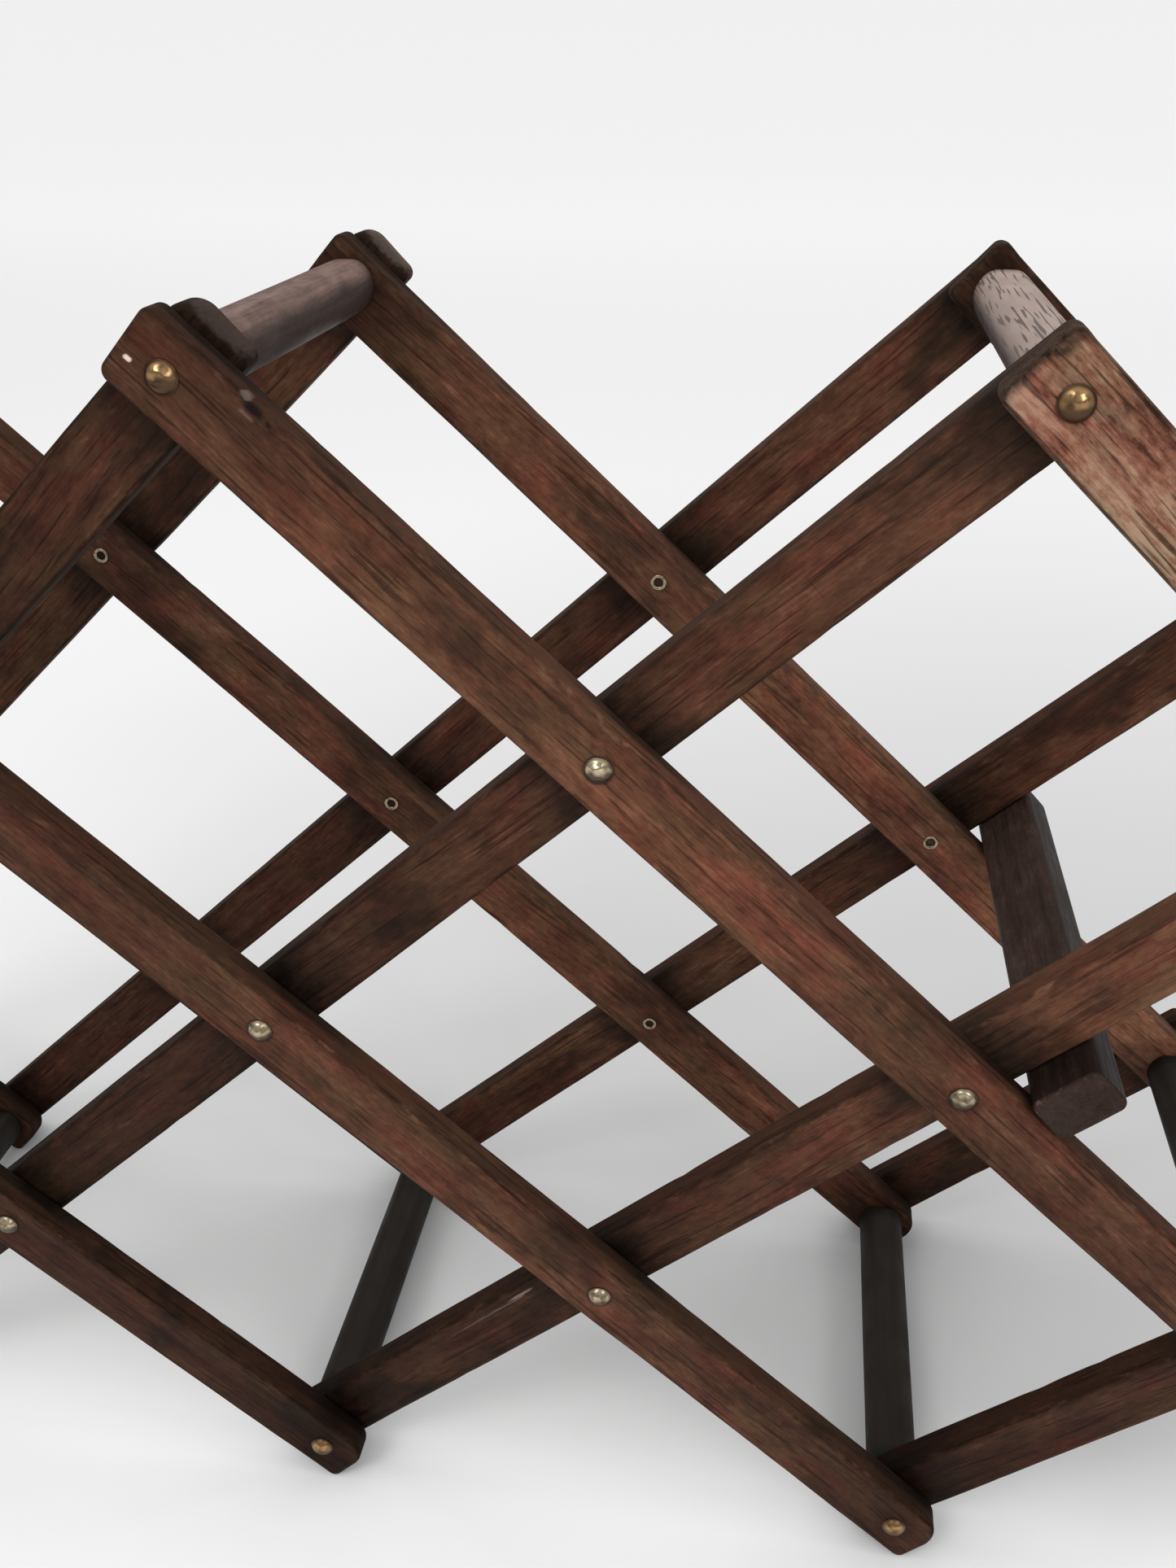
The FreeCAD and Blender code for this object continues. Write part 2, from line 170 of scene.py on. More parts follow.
class Nodes:
    """A material's node tree, with short ways to add what the finishes need."""

    def __init__(self, name):
        self.material = bpy.data.materials.new(name)
        self.material.use_nodes = True
        self.tree = self.material.node_tree
        self.shader = self.tree.nodes["Principled BSDF"]

    def add(self, kind, **settings):
        """A new node with its settings."""
        node = self.tree.nodes.new(kind)
        for key, value in settings.items():
            setattr(node, key, value)
        return node

    def feed(self, socket, value):
        """Sets a socket to a number or colour, or links another socket to it."""
        if isinstance(value, bpy.types.NodeSocket):
            self.tree.links.new(value, socket)
        elif isinstance(value, (tuple, list)) and len(value) == 3 and socket.type == "RGBA":
            socket.default_value = (*value, 1)
        else:
            socket.default_value = value

    def attribute(self, label):
        """A point attribute of the mesh, as a vector."""
        return self.add("ShaderNodeAttribute", attribute_name=label).outputs["Vector"]

    def parts(self, vector):
        """A vector's three numbers."""
        node = self.add("ShaderNodeSeparateXYZ")
        self.feed(node.inputs[0], vector)
        return node.outputs

    def math(self, operation, a, b=0.0, clamp=False):
        """One arithmetic step."""
        node = self.add("ShaderNodeMath", operation=operation, use_clamp=clamp)
        self.feed(node.inputs[0], a)
        self.feed(node.inputs[1], b)
        return node.outputs[0]

    def weighted(self, *layers):
        """The sum of values times their weights."""
        total = 0.0
        for value, weight in layers:
            total = self.math("ADD", self.math("MULTIPLY", value, weight), total)
        return total

    def scaled(self, vector, scale):
        """A vector times one factor per axis."""
        node = self.add("ShaderNodeVectorMath", operation="MULTIPLY")
        self.feed(node.inputs[0], vector)
        node.inputs[1].default_value = scale
        return node.outputs[0]

    def noise(self, vector, scale, detail=3.0, roughness=0.55, distortion=0.0):
        """Noise over a vector scaled by axis, about 0.5 in the middle."""
        node = self.add("ShaderNodeTexNoise")
        self.feed(node.inputs["Vector"], self.scaled(vector, scale))
        node.inputs["Scale"].default_value = 1.0
        node.inputs["Detail"].default_value = detail
        node.inputs["Roughness"].default_value = roughness
        node.inputs["Distortion"].default_value = distortion
        return node.outputs[0]

    def step(self, value, low, high, out_low=0.0, out_high=1.0):
        """A smooth step of a value from low to high."""
        node = self.add("ShaderNodeMapRange", interpolation_type="SMOOTHSTEP")
        self.feed(node.inputs["Value"], value)
        for label, number in (
            ("From Min", low), ("From Max", high), ("To Min", out_low), ("To Max", out_high),
        ):
            node.inputs[label].default_value = number
        return node.outputs[0]

    def dimmed(self, colour, factor):
        """A colour times a number."""
        node = self.add("ShaderNodeVectorMath", operation="SCALE")
        self.feed(node.inputs[0], colour)
        self.feed(node.inputs["Scale"], factor)
        return node.outputs[0]

    def ramp(self, value, stops):
        """A colour ramp through stops of (place, colour)."""
        node = self.add("ShaderNodeValToRGB")
        self.feed(node.inputs[0], value)
        elements = node.color_ramp.elements
        while len(elements) < len(stops):
            elements.new(0.5)
        for element, (place, colour) in zip(elements, stops):
            element.position = place
            element.color = (*colour, 1)
        return node.outputs[0]

    def tinted(self, share, colour, tint):
        """A colour, multiplied by a tint where the share is 1."""
        return self.mix(share, colour, self.mix(1.0, colour, tint, blend="MULTIPLY"))

    def mix(self, share, a, b, blend="MIX"):
        """Colour a where the share is 0. Where it is 1, colour b or what the blend makes of both."""
        node = self.add("ShaderNodeMix", data_type="RGBA", blend_type=blend)
        self.feed(node.inputs[0], share)
        self.feed(node.inputs[6], a)
        self.feed(node.inputs[7], b)
        return node.outputs[2]

    def bump(self, height, distance, strength):
        """Raises the surface by a height, seen only in its shading."""
        node = self.add("ShaderNodeBump")
        node.inputs["Strength"].default_value = strength
        node.inputs["Distance"].default_value = distance
        self.feed(node.inputs["Height"], height)
        self.feed(self.shader.inputs["Normal"], node.outputs[0])


PORE = (0.016, 0.007, 0.005)
STAIN = (0.022, 0.015, 0.010)
# The dark of dirt and of painted shade between parts.
GRIME_AND_SHADE = (0.011, 0.009, 0.007)
RECESS_SHADE = (0.018, 0.011, 0.010)
DIRTY_EDGE = (0.030, 0.017, 0.012)
CHIP_AND_HIGHLIGHT = (0.80, 0.64, 0.58)
GREENISH = (0.84, 1.00, 0.90)
TONE_PLACES = (0.0, 0.3, 0.58, 0.8, 1.0)
RELIEF = 0.25 * MM
# How far from a pin's middle its painted shadow ring starts fading, and where it ends.
RING_FADES = 3.6 * MM
RING_ENDS = 5.0 * MM


def wood(name, tones, red, edge, flank, pore=0.55, stain=0.6, contrast=0.85, blotch=None):
    """Stained hardwood in five tones, dark to pale. Grain runs along the grain attribute's x axis.

    The mask attribute holds wear, dirt with painted shade, and flank; the mark attribute holds shade,
    painted shade in nicks, and pale chips with painted highlights. The pin attribute is the way from the
    nearest pin, scaled to size the painted shadow ring round the pin.
    """
    n = Nodes(name)
    grain = n.attribute("grain")
    wear, grime_and_shade, side = n.parts(n.attribute("mask"))
    shade, hollow, chip_and_highlight = n.parts(n.attribute("mark"))

    streaks = n.noise(grain, (12, 310, 310), detail=5, roughness=0.62, distortion=0.35)
    bands = n.noise(grain, (6, 95, 95), detail=3, roughness=0.5, distortion=0.6)
    fibres = n.noise(grain, (70, 1500, 1500), detail=3, roughness=0.6)
    mottle = n.noise(grain, (66, 105, 105), detail=5, roughness=0.68)
    speckle = n.noise(grain, (330, 900, 900), detail=3, roughness=0.65)
    patches = n.noise(grain, (26, 44, 44), detail=4, roughness=0.6)
    dashes = n.noise(grain, (38, 850, 850), detail=2, roughness=0.5, distortion=0.2)
    rubbed = n.noise(grain, (140, 420, 420), detail=4, roughness=0.65)

    level = n.weighted((streaks, 0.70), (bands, 0.55), (fibres, 0.60), (mottle, 1.00), (speckle, 0.55))
    level = n.math("MULTIPLY", n.math("SUBTRACT", level, 1.70), 1.35 * contrast)
    level = n.math("ADD", level, 0.56, clamp=True)
    colour = n.ramp(level, list(zip(TONE_PLACES, tones)))

    reddish = n.step(n.noise(grain, (34, 95, 95), detail=4), 0.42, 0.68, 0.0, 0.75)
    colour = n.tinted(reddish, colour, red)
    greenish = n.step(n.noise(grain, (24, 52, 52), detail=4), 0.48, 0.66, 0.0, 0.75)
    colour = n.tinted(greenish, colour, GREENISH)
    if blotch:
        spots = n.noise(grain, (85, 170, 170), detail=4, roughness=0.65)
        colour = n.mix(n.step(spots, 0.52, 0.68, 0.0, 0.5), colour, blotch)

    flank_share = n.math("MULTIPLY", side, n.step(mottle, 0.35, 0.7, 0.35, 0.85))
    colour = n.mix(flank_share, colour, flank)
    dirty_share = n.math("MULTIPLY", wear, n.step(rubbed, 0.40, 0.56, 0.55, 0.0))
    colour = n.mix(dirty_share, colour, DIRTY_EDGE)
    pale_share = n.math("MULTIPLY", wear, n.step(rubbed, 0.52, 0.72, 0.0, 0.7))
    colour = n.mix(pale_share, colour, edge)

    pores = n.step(dashes, 0.57, 0.66, 0.0, pore)
    colour = n.mix(pores, colour, PORE)
    stained = n.step(patches, 0.53, 0.68, 0.0, stain)
    colour = n.mix(stained, colour, STAIN)
    # Dirt and painted shade darken the wood here.
    soiled_and_shaded = n.math("MULTIPLY", grime_and_shade, n.step(mottle, 0.25, 0.65, 0.98, 0.6))
    colour = n.mix(soiled_and_shaded, colour, GRIME_AND_SHADE)
    from_pin = n.add("ShaderNodeVectorMath", operation="LENGTH")
    n.feed(from_pin.inputs[0], n.attribute("pin"))
    # Painted shadow: a dark ring round each head, and a dark mouth where a tube ends.
    ring = n.step(from_pin.outputs["Value"], RING_FADES, RING_ENDS, 0.8, 0.0)
    # Painted shade in nicks, and the painted shadow ring round each pin.
    colour = n.mix(n.math("MAXIMUM", hollow, ring), colour, RECESS_SHADE)
    colour = n.dimmed(colour, shade)
    colour = n.mix(chip_and_highlight, colour, CHIP_AND_HIGHLIGHT)
    n.feed(n.shader.inputs["Base Color"], colour)

    gloss = n.step(n.weighted((fibres, 0.5), (mottle, 0.5)), 0.35, 0.65, 0.42, 0.62)
    roughness = n.math("ADD", gloss, n.math("MULTIPLY", side, 0.25), clamp=True)
    n.feed(n.shader.inputs["Roughness"], roughness)
    relief = n.weighted((streaks, 0.7), (fibres, 0.5), (pores, -0.7))
    n.bump(relief, RELIEF, 0.8)
    n.shader.inputs["Specular IOR Level"].default_value = 0.05
    return n.material


# The dark of dirt and of painted shade on the crossbars.
CROSSBAR_GRIME_AND_SHADE = (0.010, 0.010, 0.007)
FADED_PORE = (0.020, 0.013, 0.012)


def faded_and_lit_wood(name, top, flank, bleached, pore):
    """Bare hardwood of the crossbars, fading on top: pale on top, dark at the sides, with short dark
    pores. The pale top is partly painted light from above.

    The mask attribute holds dirt and painted shade as its second number. The mark attribute holds how
    bleached it is, and how far it is fading and painted light. bleached is its darker and its paler
    bleached colour.
    """
    n = Nodes(name)
    grain = n.attribute("grain")
    grime_and_shade = n.parts(n.attribute("mask"))[1]
    tone, fade_and_light, _ = n.parts(n.attribute("mark"))
    fibres = n.noise(grain, (40, 900, 900), detail=4, roughness=0.6)
    streaks = n.noise(grain, (16, 300, 300), detail=4, roughness=0.55, distortion=0.4)
    mottle = n.noise(grain, (60, 90, 90), detail=4, roughness=0.6)
    dashes = n.noise(grain, (52, 1300, 1300), detail=1, roughness=0.4, distortion=0.12)
    worn = n.noise(grain, (90, 200, 200), detail=4, roughness=0.6)

    def darker(colour, factor):
        return tuple(factor * c for c in colour)

    streaky = n.step(streaks, 0.3, 0.7)
    pale = n.mix(streaky, darker(top, 0.72), top)
    pale = n.mix(n.step(mottle, 0.35, 0.7, 0.0, 0.45), pale, darker(top, 0.6))
    dark = n.mix(streaky, darker(flank, 0.55), flank)
    edge = n.math("ADD", fade_and_light, n.math("MULTIPLY", n.math("SUBTRACT", worn, 0.5), 0.5))
    colour = n.mix(n.step(edge, 0.25, 0.75), dark, pale)
    colour = n.mix(n.step(fibres, 0.45, 0.8, 0.0, 0.35), colour, darker(flank, 0.45))
    colour = n.mix(tone, colour, n.mix(n.step(mottle, 0.35, 0.65), *bleached))
    pores = n.step(dashes, 0.575, 0.64, 0.0, pore)
    pores = n.math("MULTIPLY", pores, n.math("ADD", tone, 0.25), clamp=True)
    colour = n.mix(pores, colour, FADED_PORE)
    colour = n.mix(n.math("MULTIPLY", grime_and_shade, 0.8, clamp=True), colour, CROSSBAR_GRIME_AND_SHADE)
    n.feed(n.shader.inputs["Base Color"], colour)
    n.feed(n.shader.inputs["Roughness"], n.step(mottle, 0.35, 0.65, 0.5, 0.7))
    n.bump(n.weighted((fibres, 0.5), (pores, -0.8)), RELIEF, 0.8)
    n.shader.inputs["Specular IOR Level"].default_value = 0.10
    return n.material


# Painted shade inside a rivet's bore.
BORE_SHADE = (0.010, 0.007, 0.005)


def brass(name, bright, dull):
    """Brass, tarnished in soft patches, with fine scratches.

    The mask attribute holds how dark it is for its place, from tarnishing and from painted shade on a
    head's lower half and rim, and whether it is inside a bore, which is painted dark.
    """
    n = Nodes(name)
    place = n.attribute("grain")
    patches = n.noise(place, (420, 420, 420), detail=4, roughness=0.6)
    scratches = n.noise(place, (2500, 600, 2500), detail=3, roughness=0.6)
    rim, bore, _ = n.parts(n.attribute("mask"))
    tarnish_and_shade = n.math("MAXIMUM", n.step(patches, 0.40, 0.66, 0.0, 0.85), rim)
    metal = n.mix(tarnish_and_shade, bright, dull)
    n.feed(n.shader.inputs["Base Color"], n.mix(bore, metal, BORE_SHADE))
    n.shader.inputs["Metallic"].default_value = 1.0
    n.feed(n.shader.inputs["Roughness"], n.step(tarnish_and_shade, 0.0, 1.0, 0.17, 0.37))
    n.bump(n.weighted((patches, 1.0), (scratches, 0.2)), 0.06 * MM, 0.5)
    return n.material


# Wood tones from the darkest to the palest.
SLAT_TONES = (
    (0.028, 0.015, 0.010), (0.072, 0.031, 0.018), (0.121, 0.053, 0.030),
    (0.178, 0.080, 0.046), (0.265, 0.133, 0.080),
)
WORN_TONES = (
    (0.105, 0.038, 0.024), (0.270, 0.103, 0.066), (0.420, 0.182, 0.116),
    (0.530, 0.272, 0.180), (0.640, 0.390, 0.265),
)
STOP_TONES = (
    (0.014, 0.008, 0.007), (0.028, 0.016, 0.013), (0.044, 0.026, 0.020),
    (0.064, 0.040, 0.032), (0.098, 0.064, 0.052),
)
MATERIALS = {
    "slat_wood": wood(
        "slat_wood", SLAT_TONES, red=(1.20, 0.80, 0.90), blotch=(0.150, 0.078, 0.040),
        edge=(0.230, 0.115, 0.068), flank=(0.046, 0.024, 0.014)),
    "worn_slat_wood": wood(
        "worn_slat_wood", WORN_TONES, red=(1.0, 0.74, 0.82), edge=(0.300, 0.210, 0.140),
        flank=(0.070, 0.060, 0.042), pore=0.65, stain=0.5, contrast=1.6,
        blotch=(0.50, 0.32, 0.20)),
    "stop_bar_wood": wood(
        "stop_bar_wood", STOP_TONES, red=(1.05, 0.88, 0.95),
        edge=(0.200, 0.145, 0.125), flank=(0.052, 0.036, 0.029), pore=0.3, stain=0.3),
    "crossbar_wood": faded_and_lit_wood(
        "crossbar_wood", top=(0.275, 0.172, 0.142), flank=(0.060, 0.036, 0.030),
        bleached=((0.33, 0.265, 0.235), (0.46, 0.385, 0.345)), pore=0.85),
    "pin_brass": brass("pin_brass", bright=(0.48, 0.290, 0.130), dull=(0.085, 0.050, 0.029)),
    "rivet_brass": brass("rivet_brass", bright=(0.62, 0.51, 0.34), dull=(0.088, 0.068, 0.046)),
    "dowel_wood": wood(
        "dowel_wood", WORN_TONES, red=(1.0, 0.9, 0.85), edge=(0.3, 0.2, 0.1), flank=(0.2, 0.12, 0.07)),
}


# ---------------------------------------------------------------- slats and stop bars

def rounded_slab(grid, low, high, arris, corners):
    """Rounds a box grid: the four corners of its outline, and the arrises round its two faces.

    The outline is in x and z, thickness is y. arris is one radius per point. corners are the radii
    at (low x, low z), (low x, high z), (high x, low z) and (high x, high z). Also gives how far
    each point was from the nearest arris and from the outline, before rounding.
    """
    middle = (low + high) / 2
    half = (high - low) / 2
    at = grid - middle
    right, above = at[:, 0] > 0, at[:, 2] > 0
    radius = np.choose(right * 2 + above, corners)
    core = np.stack([half[0] - radius, half[2] - radius], axis=1)
    flat = at[:, [0, 2]]
    nearest = np.clip(flat, -core, core)
    out = flat - nearest
    reach = np.abs(out).max(axis=1)
    inset = radius - reach

    deep = half[1] - np.abs(at[:, 1])
    centre_inset = np.maximum(inset, arris)
    centre_deep = np.maximum(deep, arris)
    along = centre_inset - inset
    across = centre_deep - deep
    length = np.maximum(np.hypot(along, across), 1e-9)
    square = np.maximum(along, across)
    on_arris = (along > 0) & (across > 0)
    shrink = np.where(on_arris, square / length, 1.0)
    new_inset = centre_inset - along * shrink
    new_deep = centre_deep - across * shrink

    size = np.maximum(np.hypot(out[:, 0], out[:, 1]), 1e-9)
    new_reach = np.where(reach > 0, radius - new_inset, 0)
    moved = nearest + out / size[:, None] * new_reach[:, None]
    sign = np.where(at[:, 1] < 0, -1, 1)
    result = np.stack([moved[:, 0], sign * (half[1] - new_deep), moved[:, 1]], axis=1)
    return result + middle, np.maximum(inset, deep), inset


def local_axes(kind):
    """A slat's own axes as rows: along it, through it and up across it."""
    turn = LEAN if kind == "falling" else -LEAN
    c, s = math.cos(turn), math.sin(turn)
    return np.array([[c, 0, -s], [0, 1, 0], [s, 0, c]])


def cad_extent(node, axes):
    """A CAD node's lowest and highest corner in other axes."""
    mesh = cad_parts[node].data
    points = np.empty(len(mesh.vertices) * 3)
    mesh.vertices.foreach_get("co", points)
    local = points.reshape(-1, 3) @ axes.T
    return local.min(axis=0), local.max(axis=0)


def grain_of(local, name, slant=0.03):
    """Grain coordinates: a piece's own axes, slanted a little, in its own stretch of wood."""
    seed = seed_of(name)
    angle = slant * (seed % 200 / 100 - 1)
    shifted = local.copy()
    shifted[:, 2] += local[:, 0] * math.tan(angle) + 0.0012 * noise(local, 0.045, seed)
    shifted += np.array([seed % 97, seed % 89, seed % 83]) * 0.31
    return shifted


def press(local, normals, at, size, depth):
    """Pushes points inwards in a soft hollow of the given half sizes."""
    away = (local - np.asarray(at)) / np.asarray(size)
    fall = np.exp(-(away ** 2).sum(axis=1))
    return local - normals * (depth * fall)[:, None]


def soft_normals(local, low, high, rim):
    """Rough outward directions of a rounded box, good enough to push its surface in."""
    core = np.clip(local, low + rim, high - rim)
    away = local - core
    return away / np.maximum(np.linalg.norm(away, axis=1), 1e-9)[:, None]


# The marks of single slats, in millimetres along, through and across the slat from its
# first pin. Nick: centre, half sizes and depth. Chip, a pale spot: centre, half sizes and strength. Some
# are painted: the pale crest and rim of the nick are painted highlights, the pale tab ends painted sheen.
NICKS = {
    "front_falling_slat_4": [
        ((18.9, -4.7, 9.1), (3.9, 2.3, 2.4), 1.4),
        ((23.0, -4.8, 8.4), (1.5, 1.2, 1.0), 0.5),
    ],
}
CHIPS_AND_HIGHLIGHTS = {
    "front_falling_slat_4": [
        ((-7.9, -4.75, -2.1), (1.0, 3.0, 0.75), 1.0),
        # Painted highlights on the nick's crest and on its rim.
        ((15.9, -3.9, 10.2), (2.0, 2.2, 1.3), 0.12),
        ((18.4, -4.8, 6.7), (2.8, 1.0, 0.4), 0.08),
    ],
    # Painted sheen on the tab ends.
    "front_rising_slat_2": [((403.2, 0, 1.0), (2.2, 7.0, 11.0), 0.035)],
    "back_rising_slat_2": [((403.2, 0, 1.0), (2.2, 7.0, 11.0), 0.06)],
    "front_rising_slat_4": [
        ((86, -4.8, 6.2), (16, 1.0, 0.35), 0.10),
        ((100, -4.8, 7.0), (5, 1.0, 0.55), 0.20),
    ],
}
# How light each slat's wood is at each of its pins, from the first to the last.
SHADES = {
    "front_falling_slat_1": (0.70, 0.60), "front_falling_slat_2": (0.60, 0.50, 0.42, 0.34),
    "front_falling_slat_3": (0.60, 0.55, 0.66, 0.78, 0.62),
    "front_falling_slat_4": (0.52, 1.15, 0.66, 0.64), "front_falling_slat_5": (0.64, 0.54),
    "front_rising_slat_1": (0.35, 0.50), "front_rising_slat_2": (0.28, 0.30, 0.26, 0.46),
    "front_rising_slat_3": (0.24, 0.24, 0.38, 0.62, 0.80),
    "front_rising_slat_4": (0.30, 0.38, 0.85, 1.50), "front_rising_slat_5": (0.24, 0.45),
    "back_falling_slat_1": (0.80, 0.70), "back_falling_slat_2": (0.70, 0.80, 0.72, 0.52),
    "back_falling_slat_3": (0.60, 0.55, 0.85, 1.00, 0.80),
    "back_falling_slat_4": (0.60, 1.45, 1.60, 1.60), "back_falling_slat_5": (0.60, 0.90),
    "back_rising_slat_1": (0.50, 0.60), "back_rising_slat_2": (0.45, 0.55, 0.45, 0.75),
    "back_rising_slat_3": (0.45, 0.42, 0.50, 0.50, 0.95),
    "back_rising_slat_4": (0.60, 0.60, 0.60, 0.70), "back_rising_slat_5": (0.60, 0.50),
}


def slat_grid(node, low, high):
    """The points and quads of a slat's box, finer where it has marks of its own."""
    xs = graded(low[0], high[0], 0.6 * MM, 2.0 * MM, 6 * MM)
    ys = graded(low[1], high[1], 0.45 * MM, 1.5 * MM, 2.4 * MM)
    zs = graded(low[2], high[2], 0.45 * MM, 1.5 * MM, 2.6 * MM)
    if node in NICKS:
        xs = np.union1d(xs, np.linspace(low[0], 34 * MM, 100))
    if node in CHIPS_AND_HIGHLIGHTS:
        zs = np.linspace(low[2], high[2], 56)
    return box_grid(xs, ys, zs)


# How round a slat's arrises are, in millimetres: the usual radius, the least and the most.
USUAL_ARRIS = 1.75
LEAST_ARRIS = 1.1
MOST_ARRIS = 2.4


def worn_arris(grid, seed):
    """A radius for each point's arris, which wears more in some stretches than in others."""
    edge_key = np.stack([grid[:, 0], np.sign(grid[:, 1]), np.sign(grid[:, 2])], axis=1)
    wobble = noise(edge_key, (0.028, 0.7, 0.7), seed)
    wobble += 0.35 * noise(edge_key, (0.008, 0.7, 0.7), seed + 1)
    return np.clip(USUAL_ARRIS + 0.40 * wobble, LEAST_ARRIS, MOST_ARRIS) * MM


def foot_ends(kind, number):
    """Whether a slat's first and last crossings are feet: rising is 2 places on from falling there."""
    own, first, last = CROSSINGS[number]
    sign = 1 if kind == "falling" else -1
    return [sign * (crossing - own) == 2 for crossing in (first, last)]


def slat_corners(kind, number):
    """A slat's corner radii, for rounded_slab: rounder on top of a foot end and of the tab."""
    at_first, at_last = foot_ends(kind, number)
    plain_end = TAB_CORNER if (kind, number) == ("rising", 2) else SLAT_CORNER
    return [
        SLAT_CORNER, FOOT_CORNER if at_first else SLAT_CORNER,
        SLAT_CORNER, FOOT_CORNER if at_last else plain_end,
    ]


def aged(local, node, low, high):
    """Gives a slat shallow waves, small dents and its nicks. Also how deep in a nick each point is."""
    seed = seed_of(node)
    normals = soft_normals(local, low, high, 3 * MM)
    dip = 0.10 * (1 + noise(local, (0.030, 0.012, 0.010), seed + 2)) / 2
    dip += 0.05 * (1 + noise(local, (0.007, 0.003, 0.003), seed + 3)) / 2
    local = local - normals * (dip * MM)[:, None]
    rng = np.random.default_rng(seed)
    for _ in range(int(4 + 14 * (high[0] - low[0]))):
        at = (rng.uniform(low[0], high[0]), rng.choice([low[1], high[1]]), rng.choice([low[2], high[2]]))
        size = rng.uniform(0.8, 2.4) * MM
        length = size * rng.uniform(1, 2.5)
        depth = rng.uniform(0.1, 0.35) * MM
        local = press(local, normals, at, (length, size, size), depth)
    # How deep in a nick each point is: the shader paints shade there.
    hollow = np.zeros(len(local))
    for at, size, depth in NICKS.get(node, []):
        away = (local - np.array(at) * MM) / (np.array(size) * MM)
        hollow += np.clip(1.25 - 1.5 * (away ** 2).sum(axis=1), 0, 1)
        local = press(local, normals, np.array(at) * MM, np.array(size) * MM, depth * MM)
    return local, np.clip(hollow, 0, 1)


def crossing_grime_and_shadow(local, from_pin, outward, in_outer_layer, seed):
    """Ragged dirt and painted shadow round each crossing, on the face that meets the other slat most of
    all.
    """
    ragged = from_pin + 4.0 * MM * noise(local, (0.014, 0.010, 0.009), seed + 7)
    # Painted shadow, with dirt, where the slats cross.
    grime_and_shade = fading(ragged - 12 * MM, 19 * MM) ** 1.15
    meets = outward < 0 if in_outer_layer else outward > 0
    return grime_and_shade * np.where(meets, 1.0, 0.0 if in_outer_layer else 0.5)


def chips_and_highlights_of(node, local):
    """How far each point lies in one of a slat's pale chips and painted highlights."""
    chip_and_highlight = np.zeros(len(local))
    for at, size, strength in CHIPS_AND_HIGHLIGHTS.get(node, []):
        away = (local - np.array(at) * MM) / (np.array(size) * MM)
        spot = 2.2 - 2 * (away ** 2).sum(axis=1) + 0.7 * noise(local, 0.9 * MM, seed_of(node))
        chip_and_highlight = np.maximum(chip_and_highlight, strength * np.clip(spot, 0, 1))
    return chip_and_highlight


def slat(side, kind, number):
    """One slat in worn wood, in place of its CAD node."""
    node = f"{side}_{kind}_slat_{number}"
    seed = seed_of(node)
    own, first, last = CROSSINGS[number]
    axes = local_axes(kind)
    start = (own, first) if kind == "falling" else (first, own)
    low, high = cad_extent(node, axes)
    shift = axes @ lattice_point(*start)
    shift[1] = (low[1] + high[1]) / 2
    low, high = low - shift, high - shift
    grid, quads = slat_grid(node, low, high)
    rounded, rim, inset = rounded_slab(grid, low, high, worn_arris(grid, seed), slat_corners(kind, number))
    local, hollow = aged(rounded, node, low, high)

    wear = fading(rim, 2.4 * MM) ** 0.8
    flank = np.clip(1.2 - inset / (0.9 * MM), 0, 1)
    pins = np.arange(last - first + 1) * PITCH
    nearest_pin = pins[np.abs(local[:, 0][:, None] - pins).argmin(axis=1)]
    along = local[:, 0] - nearest_pin
    outward = local[:, 1] * (-1 if side == "front" else 1)
    in_outer_layer = (side == "front") == (kind == "falling")
    grime_and_shade = crossing_grime_and_shadow(local, np.abs(along), outward, in_outer_layer, seed)
    is_worn = node == "front_falling_slat_5"
    if is_worn:
        from_end = local[:, 0] - low[0] + 2.0 * MM * noise(local, (0.003, 0.003, 0.006), seed + 11)
        grime_and_shade = np.maximum(grime_and_shade, 0.9 * np.clip(1.5 - from_end / (2.1 * MM), 0, 1))
    # The painted shadow round a head on an outer face shrinks to a painted dark mouth of the tube on an
    # inner one.
    ring_scale = np.where(outward > 0, 1.12, 2.6)
    from_pin = np.stack([along, np.zeros(len(local)), local[:, 2]], axis=1)

    shade = np.interp(local[:, 0], pins, SHADES[node])
    shade *= 1 + 0.14 * noise(local, (0.045, 0.03, 0.02), seed + 9)
    for is_foot, pin in zip(foot_ends(kind, number), (pins[0], pins[-1])):
        if is_foot:
            shade *= 1 - 0.45 * fading(np.abs(local[:, 0] - pin), 45 * MM)
    attributes = {
        "grain": grain_of(local, node),
        "pin": from_pin * ring_scale[:, None],
        "mask": np.stack([wear, grime_and_shade, flank], axis=1),
        "mark": np.stack([shade, hollow, chips_and_highlights_of(node, local)], axis=1),
    }
    points = (local + shift) @ axes
    slot = "worn_slat_wood" if is_worn else "slat_wood"
    piece = mesh_piece(f"{node}_wood", points, quads, attributes, MATERIALS[slot])
    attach(piece, f"{kind}_pair_{number}")
    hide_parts(node)


